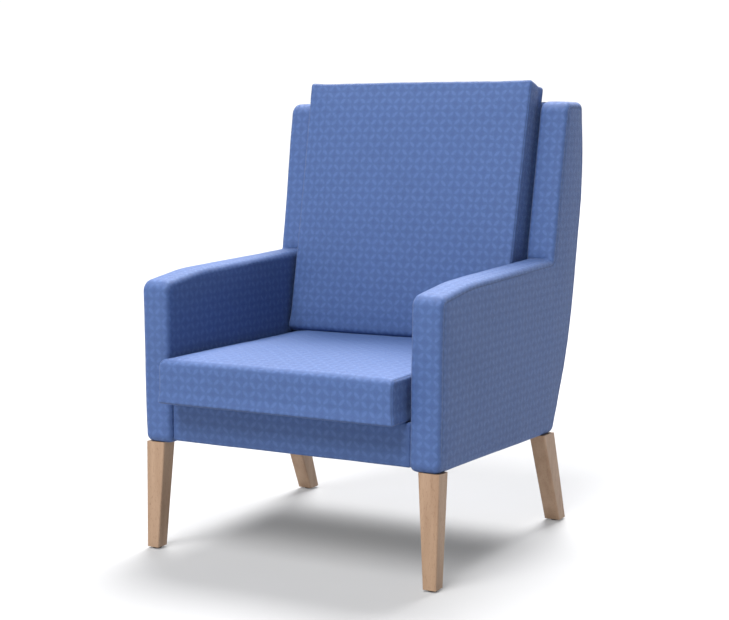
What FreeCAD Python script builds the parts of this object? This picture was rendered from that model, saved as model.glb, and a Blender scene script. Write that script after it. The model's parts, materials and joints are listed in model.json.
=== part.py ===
import FreeCAD, Part
import math
import os
from FreeCAD import Vector

os.makedirs("parts", exist_ok=True)

# All sizes are in millimetres and degrees.
# X runs across the seat, Y to the rear from the arms' front faces and Z up from the floor.

# Side slabs: arm and wing in one outline
seat_gap = 646.0
side_width = 75.5
side_lean = 0.8
side_edge_r = 11.0
base_front_z = 266.0
base_rear_z = 246.0
base_corner_r = 14.0
arm_nose_z = 655.0
arm_nose_r = 28.0
arm_break_y = 150.0
arm_break_z = 675.5
arm_break_r = 600.0
arm_rear_z = 692.5
wing_foot_y = 638.0
wing_lean = 10.1
crease_r = 6.0
back_top_z = 1087.5
wing_nose_r = 18.0
wing_top_depth = 108.0
back_top_r = 14.0
bulge_out = 25.0
bulge_drop = 190.0
bulge_r = 600.0
waist_in = 69.0
waist_drop = 412.0
waist_r = 1000.0
base_in = 99.0

# Layers of a side, from the seat outwards
cover_t = 1.5
inner_pad_t = 8.0
board_t = 4.0
outer_pad_t = 10.0
band_pad_t = 12.0

# Timber of a side
front_post_d = 70.0
arm_rail_h = 50.0
side_rail_h = 90.0

# Legs
glide_h = 5.0
glide_r = 11.0
nail_r = 1.6
nail_h = 15.0
leg_round = 4.0
front_leg_in = 3.0
front_leg_back = 3.5
front_leg_top_w = 53.0
front_leg_top_d = 46.0
front_leg_foot_w = 33.5
front_leg_foot_d = 37.5
front_leg_foot_in = 3.0
front_leg_foot_forward = 8.0
rear_leg_w = 42.0
rear_leg_in = 1.0
rear_leg_top_d = 70.0
rear_leg_foot_d = 43.0
rear_leg_rake = 88.0
rear_bolt_share = 0.6

# Leg bolts and their tee nuts
leg_bolt_r = 5.0
leg_bolt_down = 50.0
leg_bolt_up = 40.0
leg_nut_r = 6.5
leg_nut_h = 12.0
leg_flange_r = 11.0
flange_t = 1.6
nut_sink = 1.0

# Seat frame
border_back = 10.0
border_lift = 5.0
border_pad_t = 8.0
border_d = 22.0
border_top_r = 8.0
border_foot_r = 5.0
seat_rail_t = 28.0
rail_gap = 1.0
corner_block = 60.0
corner_block_h = 50.0
corner_block_lift = 10.0
dust_t = 0.8
dust_margin = 2.0
deck_t = 12.0
deck_margin = 0.5
screw_r = 2.5
screw_head_r = 4.5
screw_head_t = 3.0
screw_l = 70.0
screw_share = 0.25

# Sinuous springs and their clips
spring_count = 7
wire_r = 1.9
spring_half_w = 25.0
spring_pitch = 18.0
clip_w = 18.0
clip_d = 14.0
clip_h = 7.0

# Through bolts of the seat and the back, with tee nuts
bolt_r = 4.0
bolt_head_r = 8.0
bolt_head_t = 5.0
bolt_nut_r = 5.3
bolt_nut_h = 10.0
bolt_flange_r = 10.0
bolt_edge_share = 0.2

# Back unit
recess = 39.0
back_set = 4.0
back_pad_t = 10.0
back_wad_t = 4.0
back_board_t = 3.0
back_split = 50.0
board_margin = 25.0
stile_w = 45.0
top_rail_h = 70.0
lower_rail_lift = 22.0
lower_rail_h = 70.0
lower_rail_t = 35.0
foot_rail_h = 70.0
strap_count = 6
strap_h = 50.0
strap_t = 1.5
strap_in = 12.0
strap_low_share = 0.12
strap_high_share = 0.88
top_bolt_drop = 22.0
mid_bolt_lift = 55.0
low_bolt_lift = 18.0

# Seat cushion
seat_top_z = 477.0
seat_thick = 103.6
seat_overhang = 63.7
seat_side_gap = 7.5
seat_rear_gap = 12.0
seat_edge_r = 14.0
seat_end_r = 12.0
seat_crown = 11.0
seat_rim_crown = 2.5
seat_draw = 2.5
seat_crown_share = 0.34
seat_flat_share = 0.74

# Back cushion
cushion_side_gap = 7.0
cushion_rear_gap = 0.6
cushion_low_d = 108.0
cushion_top_d = 82.0
cushion_top_z = 1141.0
cushion_tilt = 12.5
cushion_edge_r = 13.0
cushion_end_r = 11.0
cushion_crown = 10.0
cushion_rim_crown = 2.0
cushion_draw = 2.5

# Zips of the two cushion covers
zip_share = 0.72
zip_w = 14.0
coil_w = 4.0
coil_t = 1.5
slider_w = 9.0
slider_l = 12.0
slider_t = 1.2
pull_w = 6.0
pull_l = 22.0
pull_t = 1.0
placket_d = 6.5

# Clearances
lay_gap = 0.4
hole_gap = 0.1
soft_hole_gap = 0.3
slide_gap = 0.4
stack_gap = 0.8
least_r = 0.5
corner_share = 0.48
far = 3000.0

half_gap = seat_gap / 2
band = cover_t + band_pad_t
tan_wing = math.tan(math.radians(wing_lean))
cos_wing = math.cos(math.radians(wing_lean))
tan_side = math.tan(math.radians(side_lean))
cos_side = math.cos(math.radians(side_lean))


def lean_y(z):
    """The wing's sloping front edge."""
    return wing_foot_y + (z - arm_rear_z) * tan_wing


def lining_y(z, depth=0):
    """The back unit's front face, or a layer so far behind it."""
    return lean_y(z) + recess + depth / cos_wing


wing_top_y = lean_y(back_top_z)
back_top_y = wing_top_y + wing_top_depth
bulge_y = back_top_y + bulge_out
bulge_z = back_top_z - bulge_drop
waist_y = bulge_y - waist_in
waist_z = bulge_z - waist_drop
base_rear_y = waist_y - base_in

side_outline = [
    (0, base_front_z, base_corner_r),
    (0, arm_nose_z, arm_nose_r),
    (arm_break_y, arm_break_z, arm_break_r),
    (wing_foot_y, arm_rear_z, crease_r),
    (wing_top_y, back_top_z, wing_nose_r),
    (back_top_y, back_top_z, back_top_r),
    (bulge_y, bulge_z, bulge_r),
    (waist_y, waist_z, waist_r),
    (base_rear_y, base_rear_z, base_corner_r),
]


def base_z(y):
    """The sides' underside, which falls to the rear."""
    return base_front_z + (base_rear_z - base_front_z) * y / base_rear_y


def rear_y(z):
    """The straight lines of the rear outline."""
    corners = [(base_rear_y, base_rear_z), (waist_y, waist_z), (bulge_y, bulge_z), (back_top_y, back_top_z)]
    for (y0, z0), (y1, z1) in zip(corners, corners[1:]):
        if z <= z1:
            return y0 + (y1 - y0) * (z - z0) / (z1 - z0)
    return back_top_y


def inset(points, distance):
    """An outline of (u, v, radius) corners moved inwards, its arcs kept concentric."""
    pairs = list(zip(points, points[1:] + points[:1]))
    area = sum(a[0] * b[1] - b[0] * a[1] for a, b in pairs)
    turn = math.copysign(1, area)
    lines = []
    for a, b in pairs:
        du = b[0] - a[0]
        dv = b[1] - a[1]
        length = math.hypot(du, dv)
        lines.append((a[0] - turn * dv / length * distance, a[1] + turn * du / length * distance, du, dv))
    moved = []
    for i, point in enumerate(points):
        u0, v0, du0, dv0 = lines[i - 1]
        u1, v1, du1, dv1 = lines[i]
        cross = du0 * dv1 - dv0 * du1
        along = ((u1 - u0) * dv1 - (v1 - v0) * du1) / cross
        radius = point[2] - distance if cross * turn > 0 else point[2] + distance
        moved.append((u0 + along * du0, v0 + along * dv0, max(radius, least_r)))
    return moved


def rounded(points, place):
    """A closed wire through the corners, each turned by a tangent arc."""
    arcs = []
    for i, (u, v, radius) in enumerate(points):
        before = points[i - 1]
        after = points[(i + 1) % len(points)]
        a = Vector(before[0] - u, before[1] - v, 0)
        b = Vector(after[0] - u, after[1] - v, 0)
        half = a.getAngle(b) / 2
        reach = min(radius / math.tan(half), corner_share * min(a.Length, b.Length))
        radius = reach * math.tan(half)
        a.normalize()
        b.normalize()
        here = Vector(u, v, 0)
        middle = a + b
        middle.normalize()
        arcs.append((here + a * reach, here + middle * (radius / math.sin(half) - radius), here + b * reach))
    edges = []
    for i, (start, middle, end) in enumerate(arcs):
        start, middle, end = [place(p.x, p.y) for p in (start, middle, end)]
        follow = arcs[(i + 1) % len(arcs)][0]
        edges.append(Part.Arc(start, middle, end).toShape())
        edges.append(Part.LineSegment(end, place(follow.x, follow.y)).toShape())
    return Part.Wire(edges)


def prism(points, x0, x1):
    """A rounded side outline drawn out across the seat."""
    wire = rounded(points, lambda u, v: Vector(x0, u, v))
    return Part.Face(wire).extrude(Vector(x1 - x0, 0, 0))


def slab(points, x0, x1):
    """A sharp side outline drawn out across the seat."""
    corners = [Vector(x0, y, z) for y, z in points]
    return Part.Face(Part.makePolygon(corners + corners[:1])).extrude(Vector(x1 - x0, 0, 0))


def box(x0, x1, y0, y1, z0, z1):
    return Part.makeBox(x1 - x0, y1 - y0, z1 - z0, Vector(x0, y0, z0))


def rod(radius, start, length, axis):
    return Part.makeCylinder(radius, length, start, axis)


def behind(depth):
    """Everything behind the back unit's front face, or a layer so far behind it."""
    low = [(lining_y(-far, depth), -far), (far, -far)]
    high = [(far, far), (lining_y(far, depth), far)]
    return slab(low + high, -far, far)


def below(z):
    return box(-far, far, -far, far, -far, z)


def above(z):
    return box(-far, far, -far, far, z, far)


def leaned(shape):
    """A piece of the right side, tipped outwards with it about the seat's edge."""
    tipped = shape.copy()
    tipped.rotate(Vector(half_gap, 0, seat_top_z), Vector(0, 1, 0), side_lean)
    return tipped


def between(margin):
    """The room between the leaning inner faces, or so far in from them."""
    low = half_gap - (far + seat_top_z) * tan_side - margin / cos_side
    high = half_gap + (far - seat_top_z) * tan_side - margin / cos_side
    corners = [Vector(-low, -far, -far), Vector(low, -far, -far), Vector(high, -far, far), Vector(-high, -far, far)]
    return Part.Face(Part.makePolygon(corners + corners[:1])).extrude(Vector(0, 2 * far, 0))


def mirrored(shape):
    return shape.mirror(Vector(0, 0, 0), Vector(1, 0, 0))


def both(shape):
    return [shape, mirrored(shape)]


def edges_where(shape, test):
    """Edges whose ends and middle all pass the test."""
    found = []
    for edge in shape.Edges:
        middle = edge.valueAt((edge.FirstParameter + edge.LastParameter) / 2)
        if all(test(p) for p in [v.Point for v in edge.Vertexes] + [middle]):
            found.append(edge)
    return found


def near(a, b):
    return abs(a - b) < hole_gap


nodes = {}

# The sides
X = Vector(1, 0, 0)
Y = Vector(0, 1, 0)
Z = Vector(0, 0, 1)
x_board_in = half_gap + cover_t + inner_pad_t
x_post_in = x_board_in + board_t
x_post_out = half_gap + side_width - cover_t - outer_pad_t - board_t
x_board_out = x_post_out + board_t


def side_form(depth):
    """One side's outer form, or the same form so far inside it."""
    x0 = half_gap + depth
    x1 = half_gap + side_width - depth
    body = prism(inset(side_outline, depth), x0, x1)
    rims = edges_where(body, lambda p: near(p.x, x0)) + edges_where(body, lambda p: near(p.x, x1))
    return body.makeFillet(side_edge_r - depth, rims)


side_outer = side_form(0)
side_inner = side_form(cover_t)
core_outline = inset(side_outline, band)
core = prism(core_outline, x_post_in, x_post_out)
core_all = prism(core_outline, x_board_in, x_board_out)
inner_board = prism(core_outline, x_board_in, x_post_in)
outer_board = prism(core_outline, x_post_out, x_board_out)


def post_line(z):
    return lean_y(z) + band / cos_wing


def arm_rail_z(y):
    return arm_nose_z - band - arm_rail_h + (arm_rear_z - arm_nose_z) * y / wing_foot_y


def side_rail_z(y):
    return base_z(y) + band + side_rail_h


arm_region = slab([(-far, arm_rail_z(-far)), (far, arm_rail_z(far)), (far, 2 * far), (-far, 2 * far)], 0, far)
post_region = slab([(post_line(-far), -far), (far, -far), (far, far), (post_line(far), far)], 0, far)
front_region = box(0, far, -far, band + front_post_d, -far, far)
rail_region = slab([(-far, side_rail_z(-far)), (far, side_rail_z(far)), (far, -far), (-far, -far)], 0, far)
back_post = core.common(post_region)
arm_rail = core.common(arm_region).cut(post_region)
front_post = core.cut(arm_region).common(front_region)
side_rail = core.common(rail_region).cut(front_region).cut(post_region)

# The legs stand under the front and rear posts
leg_x = half_gap + side_width
under_side = slab([(-far, base_z(-far)), (far, base_z(far)), (far, 2 * far), (-far, 2 * far)], 0, far)
under_side = leaned(under_side)


def oblong(x1, y0, width, depth, z):
    corners = [(x1 - width, y0), (x1, y0), (x1, y0 + depth), (x1 - width, y0 + depth)]
    points = [Vector(x, y, z) for x, y in corners]
    return Part.makePolygon(points + points[:1])


front_top_x = leg_x - front_leg_in
front_foot_x = front_top_x - front_leg_foot_in
front_foot_y = front_leg_back - front_leg_foot_forward
leg_top = oblong(front_top_x, front_leg_back, front_leg_top_w, front_leg_top_d, base_front_z)
leg_foot = oblong(front_foot_x, front_foot_y, front_leg_foot_w, front_leg_foot_d, glide_h)
front_leg = Part.makeLoft([leg_foot, leg_top], True, True)
upright = [e for e in front_leg.Edges if abs(e.Vertexes[0].Z - e.Vertexes[1].Z) > glide_h]
front_leg = front_leg.makeFillet(leg_round, upright).cut(under_side)

rear_x = leg_x - rear_leg_in
rear_foot_y = base_rear_y + rear_leg_rake
rear_front_y = base_rear_y - rear_leg_top_d
leg_side = [
    (rear_front_y, base_z(rear_front_y) + leg_round),
    (base_rear_y, base_rear_z + leg_round),
    (rear_foot_y, glide_h),
    (rear_foot_y - rear_leg_foot_d, glide_h),
]
rear_leg = slab(leg_side, rear_x - rear_leg_w, rear_x)
upright = [e for e in rear_leg.Edges if abs(e.Vertexes[0].Z - e.Vertexes[1].Z) > base_rear_z / 2]
rear_leg = rear_leg.makeFillet(leg_round, upright).cut(under_side)

nut_limit_x = x_post_out - leg_flange_r - nut_sink
front_bolt_x = min(front_top_x - front_leg_top_w / 2, nut_limit_x)
rear_bolt_x = min(rear_x - rear_leg_w / 2, nut_limit_x)
front_bolt = (front_bolt_x, front_leg_back + front_leg_top_d / 2)
rear_bolt = (rear_bolt_x, rear_front_y + rear_leg_top_d * rear_bolt_share)
leg_bolts = []
leg_bolt_holes = []
leg_bolt_soft_holes = []
leg_nuts = []
leg_nut_pockets = []
for x, y in (front_bolt, rear_bolt):
    middle = Vector(x, y, base_z(y))
    start = middle - Z * leg_bolt_down
    length = leg_bolt_down + band + leg_bolt_up
    leg_bolts.append(rod(leg_bolt_r, start, length, Z))
    leg_bolt_holes.append(rod(leg_bolt_r + hole_gap, start, length, Z))
    leg_bolt_soft_holes.append(rod(leg_bolt_r + soft_hole_gap, start, length, Z))
    seat = middle + Z * (band + nut_sink)
    nut = rod(leg_flange_r, seat, flange_t, Z).fuse(rod(leg_nut_r, seat, flange_t + leg_nut_h, Z))
    leg_nuts.append(nut.cut(rod(leg_bolt_r + hole_gap, seat, length, Z)))
    pocket = rod(leg_flange_r + hole_gap, seat - Z * band / 2, band / 2 + flange_t, Z)
    leg_nut_pockets.append(pocket.fuse(rod(leg_nut_r + hole_gap, seat, flange_t + leg_nut_h, Z)))

front_foot = Vector(front_foot_x - front_leg_foot_w / 2, front_foot_y + front_leg_foot_d / 2, 0)
rear_foot = Vector(rear_x - rear_leg_w / 2, rear_foot_y - rear_leg_foot_d / 2, 0)
glides = []
nail_holes = []
for foot in (front_foot, rear_foot):
    glides.append(rod(glide_r, foot, glide_h, Z).fuse(rod(nail_r, foot, glide_h + nail_h, Z)))
    nail_holes.append(rod(nail_r + hole_gap, foot, glide_h + nail_h, Z))
front_leg = front_leg.cut([leaned(leg_bolt_holes[0]), nail_holes[0]])
rear_leg = rear_leg.cut([leaned(leg_bolt_holes[1]), nail_holes[1]])

# The seat frame between the sides
deck_z = seat_top_z - seat_thick - lay_gap
deck_low = deck_z - deck_t
rail_top = deck_low - clip_h
border_z = base_front_z + border_lift
rail_low = border_z + cover_t
front_rail_y = border_back + cover_t + border_pad_t
front_rail_end = front_rail_y + seat_rail_t
rear_rail_end = lining_y(rail_low) - rail_gap
rear_rail_y = rear_rail_end - seat_rail_t
rail_in = half_gap - seat_rail_t
room = between(0)

seat_front_rail = box(-far, far, front_rail_y, front_rail_end, rail_low, rail_top).common(room)
seat_rear_rail = box(-far, far, rear_rail_y, rear_rail_end, rail_low, rail_top).common(room)
seat_side_rail = box(0, far, front_rail_end, rear_rail_y, rail_low, rail_top).common(room).cut(between(seat_rail_t))

block_low = rail_low + corner_block_lift
blocks = []
for y, way in ((front_rail_end, 1), (rear_rail_y, -1)):
    corners = [(rail_in, y), (rail_in - corner_block, y), (rail_in, y + way * corner_block)]
    points = [Vector(px, py, block_low) for px, py in corners]
    block = Part.Face(Part.makePolygon(points + points[:1])).extrude(Z * corner_block_h)
    blocks += both(leaned(block))

frame_screws = []
screw_holes = []
for y, way in ((front_rail_y, Y), (rear_rail_end, Y * -1)):
    for share in (screw_share, 1 - screw_share):
        head = Vector(half_gap - seat_rail_t / 2, y, rail_low + (rail_top - rail_low) * share)
        screw = rod(screw_head_r, head, screw_head_t, way).fuse(rod(screw_r, head, screw_l, way))
        hole = rod(screw_head_r + hole_gap, head, screw_head_t, way)
        hole = hole.fuse(rod(screw_r + hole_gap, head, screw_l, way))
        frame_screws += both(screw)
        screw_holes += both(hole)


def border_form(depth):
    """The padded front border, or the same form so far inside it."""
    y0 = border_back + depth
    z0 = border_z + depth
    z1 = deck_z - depth
    body = box(-far, far, y0, border_back + border_d, z0, z1)
    top = edges_where(body, lambda p: near(p.y, y0) and near(p.z, z1))
    body = body.makeFillet(border_top_r - depth, top)
    foot = edges_where(body, lambda p: near(p.y, y0) and near(p.z, z0))
    return body.makeFillet(border_foot_r - depth, foot)


border_cover = border_form(0).cut(border_form(cover_t)).common(room)
border_foam = border_form(cover_t).common(room).cut(seat_front_rail)
deck_front = border_back + border_d
deck_rear = lining_y(deck_low) - rail_gap
seat_deck = box(-far, far, deck_front, deck_rear, deck_low, deck_z).common(between(deck_margin))
dust_front = deck_front + dust_margin
dust_rear = rear_rail_end - dust_margin
dust_cover = box(-far, far, dust_front, dust_rear, rail_low - dust_t, rail_low).common(between(dust_margin))

wire_z = rail_top + clip_h / 2
spring_front = front_rail_end - clip_d / 2
spring_rear = rear_rail_y + clip_d / 2
runs = int(round((spring_rear - spring_front) / spring_pitch))
pitch = (spring_rear - spring_front) / runs
straight = spring_half_w - pitch / 2
path = []
for k in range(runs + 1):
    y = spring_front + k * pitch
    way = 1 if k % 2 == 0 else -1
    start = Vector(-way * straight, y, wire_z)
    end = Vector(way * straight, y, wire_z)
    path.append(Part.LineSegment(start, end).toShape())
    if k < runs:
        middle = end + Vector(way * pitch / 2, pitch / 2, 0)
        path.append(Part.Arc(end, middle, end + Y * pitch).toShape())
wire_ring = Part.Wire(Part.makeCircle(wire_r, Vector(-straight, spring_front, wire_z), X))
spring = Part.Wire(path).makePipeShell([wire_ring], True, False)
spring_step = 2 * rail_in / spring_count
springs = []
clips = []
for k in range(spring_count):
    x = -rail_in + (k + 0.5) * spring_step
    springs.append(spring.translated(X * x))
    for y in (spring_front, spring_rear):
        clip = box(x - clip_w / 2, x + clip_w / 2, y - clip_d / 2, y + clip_d / 2, rail_top, deck_low)
        bore = rod(wire_r + hole_gap, Vector(x - clip_w, y, wire_z), 2 * clip_w, X)
        clips.append(clip.cut(bore))

# The back unit between the wings
front_layers = cover_t + back_pad_t
rear_layers = back_set + cover_t + back_wad_t


def back_form(rear, front):
    """The back unit's form, so far inside the sides' outline and behind its front face."""
    return prism(inset(side_outline, rear), -2 * half_gap, 2 * half_gap).common(behind(front)).common(room)


back_shell = back_form(back_set, 0).cut(back_form(back_set + cover_t, cover_t))
back_inner_cover = back_shell.cut(behind(back_split))
back_outer_cover = back_shell.common(behind(back_split))
padded_form = back_form(back_set + cover_t, cover_t)
back_pad = padded_form.cut(behind(front_layers))
core_form = back_form(rear_layers, front_layers)
back_wadding = padded_form.common(behind(front_layers)).cut(core_form)
board_zone = behind(front_layers + back_split).cut([below(base_rear_z + board_margin), above(back_top_z - board_margin)])
back_board = core_form.cut(back_form(rear_layers + back_board_t, front_layers)).common(board_zone)
timber = core_form.cut(back_board)
stile_in = half_gap - stile_w
middle_bay = between(stile_w)
back_stile = timber.cut(middle_bay).common(box(0, far, -far, far, -far, far))
bay = timber.common(middle_bay)
top_rail_z = back_top_z - top_rail_h
back_top_rail = bay.common(above(top_rail_z))
lower_rail_z = deck_z + lower_rail_lift
lower_rail_end = lower_rail_z + lower_rail_h
lower_zone = above(lower_rail_z).cut([above(lower_rail_end), behind(front_layers + lower_rail_t)])
back_lower_rail = bay.common(lower_zone)
foot_rail_z = base_rear_z + foot_rail_h
back_foot_rail = bay.common(below(foot_rail_z))

strap_low = lower_rail_end + (top_rail_z - lower_rail_end) * strap_low_share
strap_high = lower_rail_end + (top_rail_z - lower_rail_end) * strap_high_share
straps = []
for k in range(strap_count):
    middle = strap_low + (strap_high - strap_low) * k / (strap_count - 1)
    z0 = middle - strap_h / 2
    z1 = middle + strap_h / 2
    front = front_layers - strap_t
    rim = [(lining_y(z0, front), z0), (lining_y(z0, front_layers), z0)]
    rim += [(lining_y(z1, front_layers), z1), (lining_y(z1, front), z1)]
    straps.append(slab(rim, -far, far).common(between(strap_in)))
back_pad = back_pad.cut(straps)

# Bolts that draw the seat and the back against the sides
side_bolts = []
side_bolt_holes = []
side_bolt_soft_holes = []
side_nuts = []
side_nut_pockets = []


def add_side_bolt(y, z, x_head):
    head = Vector(x_head - bolt_head_t, y, z)
    length = x_post_out - nut_sink - head.x
    bolt = rod(bolt_head_r, head, bolt_head_t, X).fuse(rod(bolt_r, head, length, X))
    side_bolts.append(bolt)
    side_bolt_holes.append(rod(bolt_r + hole_gap, head, length, X))
    side_bolt_soft_holes.append(rod(bolt_r + soft_hole_gap, head, length, X))
    rim = Vector(x_post_out - nut_sink, y, z)
    inwards = X * -1
    nut = rod(bolt_flange_r, rim, flange_t, inwards).fuse(rod(bolt_nut_r, rim, flange_t + bolt_nut_h, inwards))
    side_nuts.append(nut.cut(rod(bolt_r + hole_gap, rim, length, inwards)))
    pocket = rod(bolt_flange_r + hole_gap, rim + X * nut_sink, nut_sink + flange_t, inwards)
    side_nut_pockets.append(pocket.fuse(rod(bolt_nut_r + hole_gap, rim, flange_t + bolt_nut_h, inwards)))


seat_bolt_z = (rail_low + rail_top) / 2
for share in (bolt_edge_share, 1 - bolt_edge_share):
    add_side_bolt(front_rail_end + (rear_rail_y - front_rail_end) * share, seat_bolt_z, rail_in)
for z in (foot_rail_z + low_bolt_lift, lower_rail_end + mid_bolt_lift, top_rail_z - top_bolt_drop):
    y = (lining_y(z, front_layers) + rear_y(z) - rear_layers - back_board_t) / 2
    add_side_bolt(y, z, stile_in)

hard_holes = side_bolt_holes + side_nut_pockets + leg_bolt_holes + leg_nut_pockets
soft_holes = side_bolt_soft_holes + leg_bolt_soft_holes
side_cover = side_outer.cut(side_inner).cut(soft_holes)
side_foam = side_inner.cut(core_all).cut(soft_holes)
inner_board = inner_board.cut(hard_holes)
back_post = back_post.cut(hard_holes)
front_post = front_post.cut(hard_holes)
side_rail = side_rail.cut(hard_holes)
leaned_holes = [leaned(hole) for hole in side_bolt_holes]
seat_side_rail = seat_side_rail.cut(leaned_holes).cut(screw_holes)
seat_front_rail = seat_front_rail.cut(screw_holes)
seat_rear_rail = seat_rear_rail.cut(screw_holes)
back_stile = back_stile.cut(leaned_holes)

# The seat cushion
seat_rear = lining_y(deck_z) - seat_rear_gap
seat_half = half_gap - seat_side_gap
seat_low = seat_top_z - seat_thick


def seat_section(y, half_w, crown, depth):
    half_w = half_w - depth
    top = seat_top_z - depth
    radius = seat_edge_r - depth
    corners = [
        (-half_w, seat_low + depth, radius),
        (half_w, seat_low + depth, radius),
        (half_w, top, radius),
        (0, top + crown, far),
        (-half_w, top, radius),
    ]
    return rounded(corners, lambda u, v: Vector(u, y, v))


def seat_form(depth):
    """The seat cushion, or the same form so far inside it."""
    y0 = depth - seat_overhang
    y1 = seat_rear - depth
    sections = [
        seat_section(y0, seat_half, seat_rim_crown, depth),
        seat_section(y0 + (y1 - y0) * seat_crown_share, seat_half - seat_draw, seat_crown, depth),
        seat_section(y0 + (y1 - y0) * seat_flat_share, seat_half - seat_draw, seat_rim_crown, depth),
        seat_section(y1, seat_half, seat_rim_crown, depth),
    ]
    body = Part.makeLoft(sections, True, False)
    ends = edges_where(body, lambda p: near(p.y, y0) or near(p.y, y1))
    return body.makeFillet(seat_end_r - depth, ends)


seat_foam = seat_form(cover_t)
seat_cover = seat_form(0).cut(seat_foam)
zip_half = seat_half * zip_share
seat_zip_z = (seat_top_z + seat_low) / 2
tape = box(-zip_half, zip_half, seat_rear - cover_t, seat_rear, seat_zip_z - zip_w / 2, seat_zip_z + zip_w / 2)
seat_cover = seat_cover.cut(tape)
coil_end = seat_rear + coil_t
coil = box(-zip_half, zip_half, seat_rear, coil_end, seat_zip_z - coil_w / 2, seat_zip_z + coil_w / 2)
seat_zip = tape.fuse(coil)


def slider_form(pull_turn):
    """A zip slider over a coil along X, with Z away from the cover and the pull turned about Z."""
    mouth = coil_w / 2 + slide_gap
    sole = slide_gap
    roof = coil_t + slide_gap
    body = box(-slider_l / 2, slider_l / 2, -slider_w / 2, slider_w / 2, sole, roof + slider_t)
    body = body.cut(box(-slider_l, slider_l, -mouth, mouth, -sole, roof))
    pull = box(-pull_w / 2, pull_w / 2, -slider_w / 2, pull_l, roof + slider_t, roof + slider_t + pull_t)
    eye = rod(pull_w / 4, Vector(0, pull_l - pull_w / 2, 0), far, Z)
    pull = pull.cut(eye)
    pull.rotate(Vector(0, 0, 0), Z, pull_turn)
    return body.fuse(pull)


slider_x = zip_half - slider_l
seat_slider = slider_form(0)
seat_slider.rotate(Vector(0, 0, 0), X, -90)
seat_slider.translate(Vector(slider_x, seat_rear, seat_zip_z))

# The back cushion
cushion_half = half_gap - cushion_side_gap
cushion_low_z = seat_top_z + seat_rim_crown + stack_gap
sin_tilt = math.sin(math.radians(cushion_tilt))
cos_tilt = math.cos(math.radians(cushion_tilt))
low_rear = Vector(0, lining_y(cushion_low_z) - cushion_rear_gap, cushion_low_z)
low_front = low_rear - Y * cushion_low_d
top_rear_z = cushion_top_z - cushion_top_d * sin_tilt
top_rear = Vector(0, lining_y(top_rear_z) - cushion_rear_gap, top_rear_z)
top_front = top_rear + Vector(0, -cushion_top_d * cos_tilt, cushion_top_d * sin_tilt)


def cushion_section(share, half_w, crown, depth):
    front = low_front + (top_front - low_front) * share
    rear = low_rear + (top_rear - low_rear) * share
    across = rear - front
    thick = across.Length
    across.normalize()
    half_w = half_w - depth
    radius = cushion_edge_r - depth
    corners = [
        (-half_w, thick - depth, radius),
        (half_w, thick - depth, radius),
        (half_w, depth, radius),
        (0, depth - crown, far),
        (-half_w, depth, radius),
    ]
    return rounded(corners, lambda u, v: Vector(u, 0, 0) + front + across * v)


def cushion_form(depth):
    """The back cushion, or the same form so far inside it."""
    trim = depth / (top_front - low_front).Length
    sections = [
        cushion_section(trim, cushion_half, cushion_rim_crown, depth),
        cushion_section(1 / 3, cushion_half - cushion_draw, cushion_crown, depth),
        cushion_section(2 / 3, cushion_half - cushion_draw, cushion_crown, depth),
        cushion_section(1 - trim, cushion_half, cushion_rim_crown, depth),
    ]
    body = Part.makeLoft(sections, True, False)
    caps = sorted(body.Faces, key=lambda f: f.CenterOfMass.z)
    ends = caps[0].Edges + caps[-1].Edges
    return body.makeFillet(cushion_end_r - depth, ends)


back_foam = cushion_form(cover_t)
back_cover = cushion_form(0).cut(back_foam)
placket_y = (low_front.y + low_rear.y) / 2
tape_z = cushion_low_z + placket_d
zip_y0 = placket_y - zip_w / 2
zip_y1 = placket_y + zip_w / 2
placket_end = zip_half + pull_l
placket = box(-placket_end, zip_half, zip_y0, zip_y1, cushion_low_z - cover_t, tape_z + cover_t)
back_foam = back_foam.cut(placket)
back_cover = back_cover.cut(placket)
tape = box(-zip_half, zip_half, zip_y0, zip_y1, tape_z, tape_z + cover_t)
coil = box(-zip_half, zip_half, placket_y - coil_w / 2, placket_y + coil_w / 2, tape_z - coil_t, tape_z)
back_zip = tape.fuse(coil)
back_slider = slider_form(90)
back_slider.rotate(Vector(0, 0, 0), X, 180)
back_slider.translate(Vector(slider_x, placket_y, tape_z))

# Every node, with the handed ones mirrored
leaning = {
    "front_post": front_post,
    "arm_rail": arm_rail,
    "back_post": back_post,
    "side_rail": side_rail,
    "inner_board": inner_board,
    "outer_board": outer_board,
    "side_foam": side_foam,
    "side_cover": side_cover,
}
handed = {name: leaned(shape) for name, shape in leaning.items()}
handed["front_leg"] = front_leg
handed["rear_leg"] = rear_leg
handed["seat_side_rail"] = seat_side_rail
handed["back_stile"] = back_stile
for name, shape in handed.items():
    nodes[name + "_right"] = [shape]
    nodes[name + "_left"] = [mirrored(shape)]
groups = {
    "leg_bolts": leg_bolts,
    "leg_tee_nuts": leg_nuts,
    "frame_bolts": side_bolts,
    "frame_tee_nuts": side_nuts,
}
for name, shapes in groups.items():
    nodes[name] = [piece for shape in shapes for piece in both(leaned(shape))]
nodes["leg_glides"] = [piece for shape in glides for piece in both(shape)]
nodes["seat_front_rail"] = [seat_front_rail]
nodes["seat_rear_rail"] = [seat_rear_rail]
nodes["seat_corner_blocks"] = blocks
nodes["seat_screws"] = frame_screws
nodes["seat_springs"] = springs
nodes["spring_clips"] = clips
nodes["seat_deck"] = [seat_deck]
nodes["border_foam"] = [border_foam]
nodes["border_cover"] = [border_cover]
nodes["dust_cover"] = [dust_cover]
nodes["back_top_rail"] = [back_top_rail]
nodes["back_lower_rail"] = [back_lower_rail]
nodes["back_foot_rail"] = [back_foot_rail]
nodes["back_straps"] = straps
nodes["back_pad"] = [back_pad]
nodes["back_inner_cover"] = [back_inner_cover]
nodes["back_board"] = [back_board]
nodes["back_wadding"] = [back_wadding]
nodes["back_outer_cover"] = [back_outer_cover]
nodes["seat_cushion_foam"] = [seat_foam]
nodes["seat_cushion_cover"] = [seat_cover]
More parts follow.
